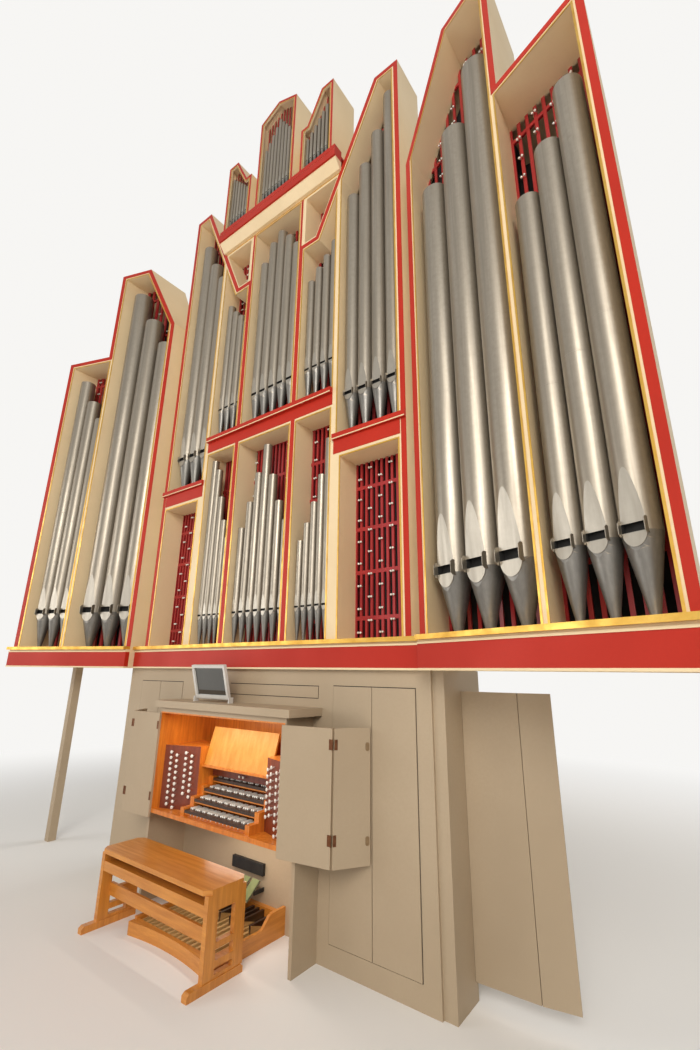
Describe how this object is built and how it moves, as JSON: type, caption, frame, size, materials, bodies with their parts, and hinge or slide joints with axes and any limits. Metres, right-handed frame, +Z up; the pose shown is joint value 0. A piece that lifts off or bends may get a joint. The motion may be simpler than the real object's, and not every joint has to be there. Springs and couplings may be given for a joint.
{
  "type": "pipe organ",
  "caption": "Large pipe organ: gabled crown, main case with pipe towers, two turned pedal towers, attached console with four manuals, bench and pedalboard.",
  "frame": {"origin": "centre of the bounding box at floor level", "axes": "+Z up, the front faces -Y, +X is the right seen from the front"},
  "size_m": [7.1116, 1.67, 9.31],
  "materials": {
    "case_paint": "satin paint, warm grey",
    "cream_paint": "satin paint, cream",
    "red_paint": "satin paint, red",
    "gold_leaf": "gilded",
    "grille_paint": "satin paint, dark red",
    "pipe_metal": "dull tin",
    "console_wood": "clear varnish",
    "bench_wood": "clear varnish",
    "knob_white": "polished",
    "key_black": "polished",
    "pedal_wood": "worn",
    "black_metal": "matt",
    "shoe_metal": "ribbed",
    "mirror_frame": "satin"
  },
  "bodies": {
    "root": {"base_case": "case_paint", "base_panels": "case_paint", "cornice": "cream_paint", "cornice_red": "red_paint", "cornice_gold": "gold_leaf", "main_case": "cream_paint", "side_case_left": "cream_paint", "side_case_right": "cream_paint", "tower_case_left": "cream_paint", "tower_case_right": "cream_paint", "red_bands": "red_paint", "gold_lines": "gold_leaf", "main_ledges": "red_paint", "main_grilles": "grille_paint", "rear_case": "case_paint", "crown_ledge": "red_paint", "crown_case": "cream_paint", "crown_grilles": "grille_paint", "pedal_case_left": "cream_paint", "pedal_case_right": "cream_paint", "pedal_grilles": "grille_paint", "pedal_supports": "case_paint", "pedal_pipes_left": "pipe_metal", "pedal_pipes_right": "pipe_metal", "tower_pipes_left": "pipe_metal", "tower_pipes_right": "pipe_metal", "side_pipes": "pipe_metal", "centre_pipes": "pipe_metal", "lower_pipes": "pipe_metal", "crown_pipes": "pipe_metal", "console_case": "case_paint", "console_lining": "console_wood", "console_canopy": "case_paint", "console_doors": "case_paint", "stop_jambs": "console_wood", "stop_knobs": "knob_white", "music_desk": "console_wood", "key_frames": "console_wood", "keys": "key_black", "swell_frame": "black_metal", "mirror_bracket": "mirror_frame", "bench": "bench_wood", "pedalboard": "bench_wood", "pedal_keys": "pedal_wood", "passage_door": "case_paint"},
    "swell_pedal_left": {"swell_pedal_left": "shoe_metal"},
    "swell_pedal_right": {"swell_pedal_right": "shoe_metal"},
    "player_mirror": {"player_mirror": "mirror_frame"}
  },
  "joints": [
    {"name": "swell_left_tilt", "type": "hinge", "parent": "root", "child": "swell_pedal_left", "pos_m": [0.0625, 0.045, 0.25], "axis": [1, 0, 0], "range_deg": [-18, 18]},
    {"name": "swell_right_tilt", "type": "hinge", "parent": "root", "child": "swell_pedal_right", "pos_m": [0.1725, 0.045, 0.25], "axis": [1, 0, 0], "range_deg": [-18, 18]},
    {"name": "mirror_tilt", "type": "hinge", "parent": "root", "child": "player_mirror", "pos_m": [-0.24, -0.175, 1.725], "axis": [1, 0, 0], "range_deg": [-26, 20]}
  ]
}
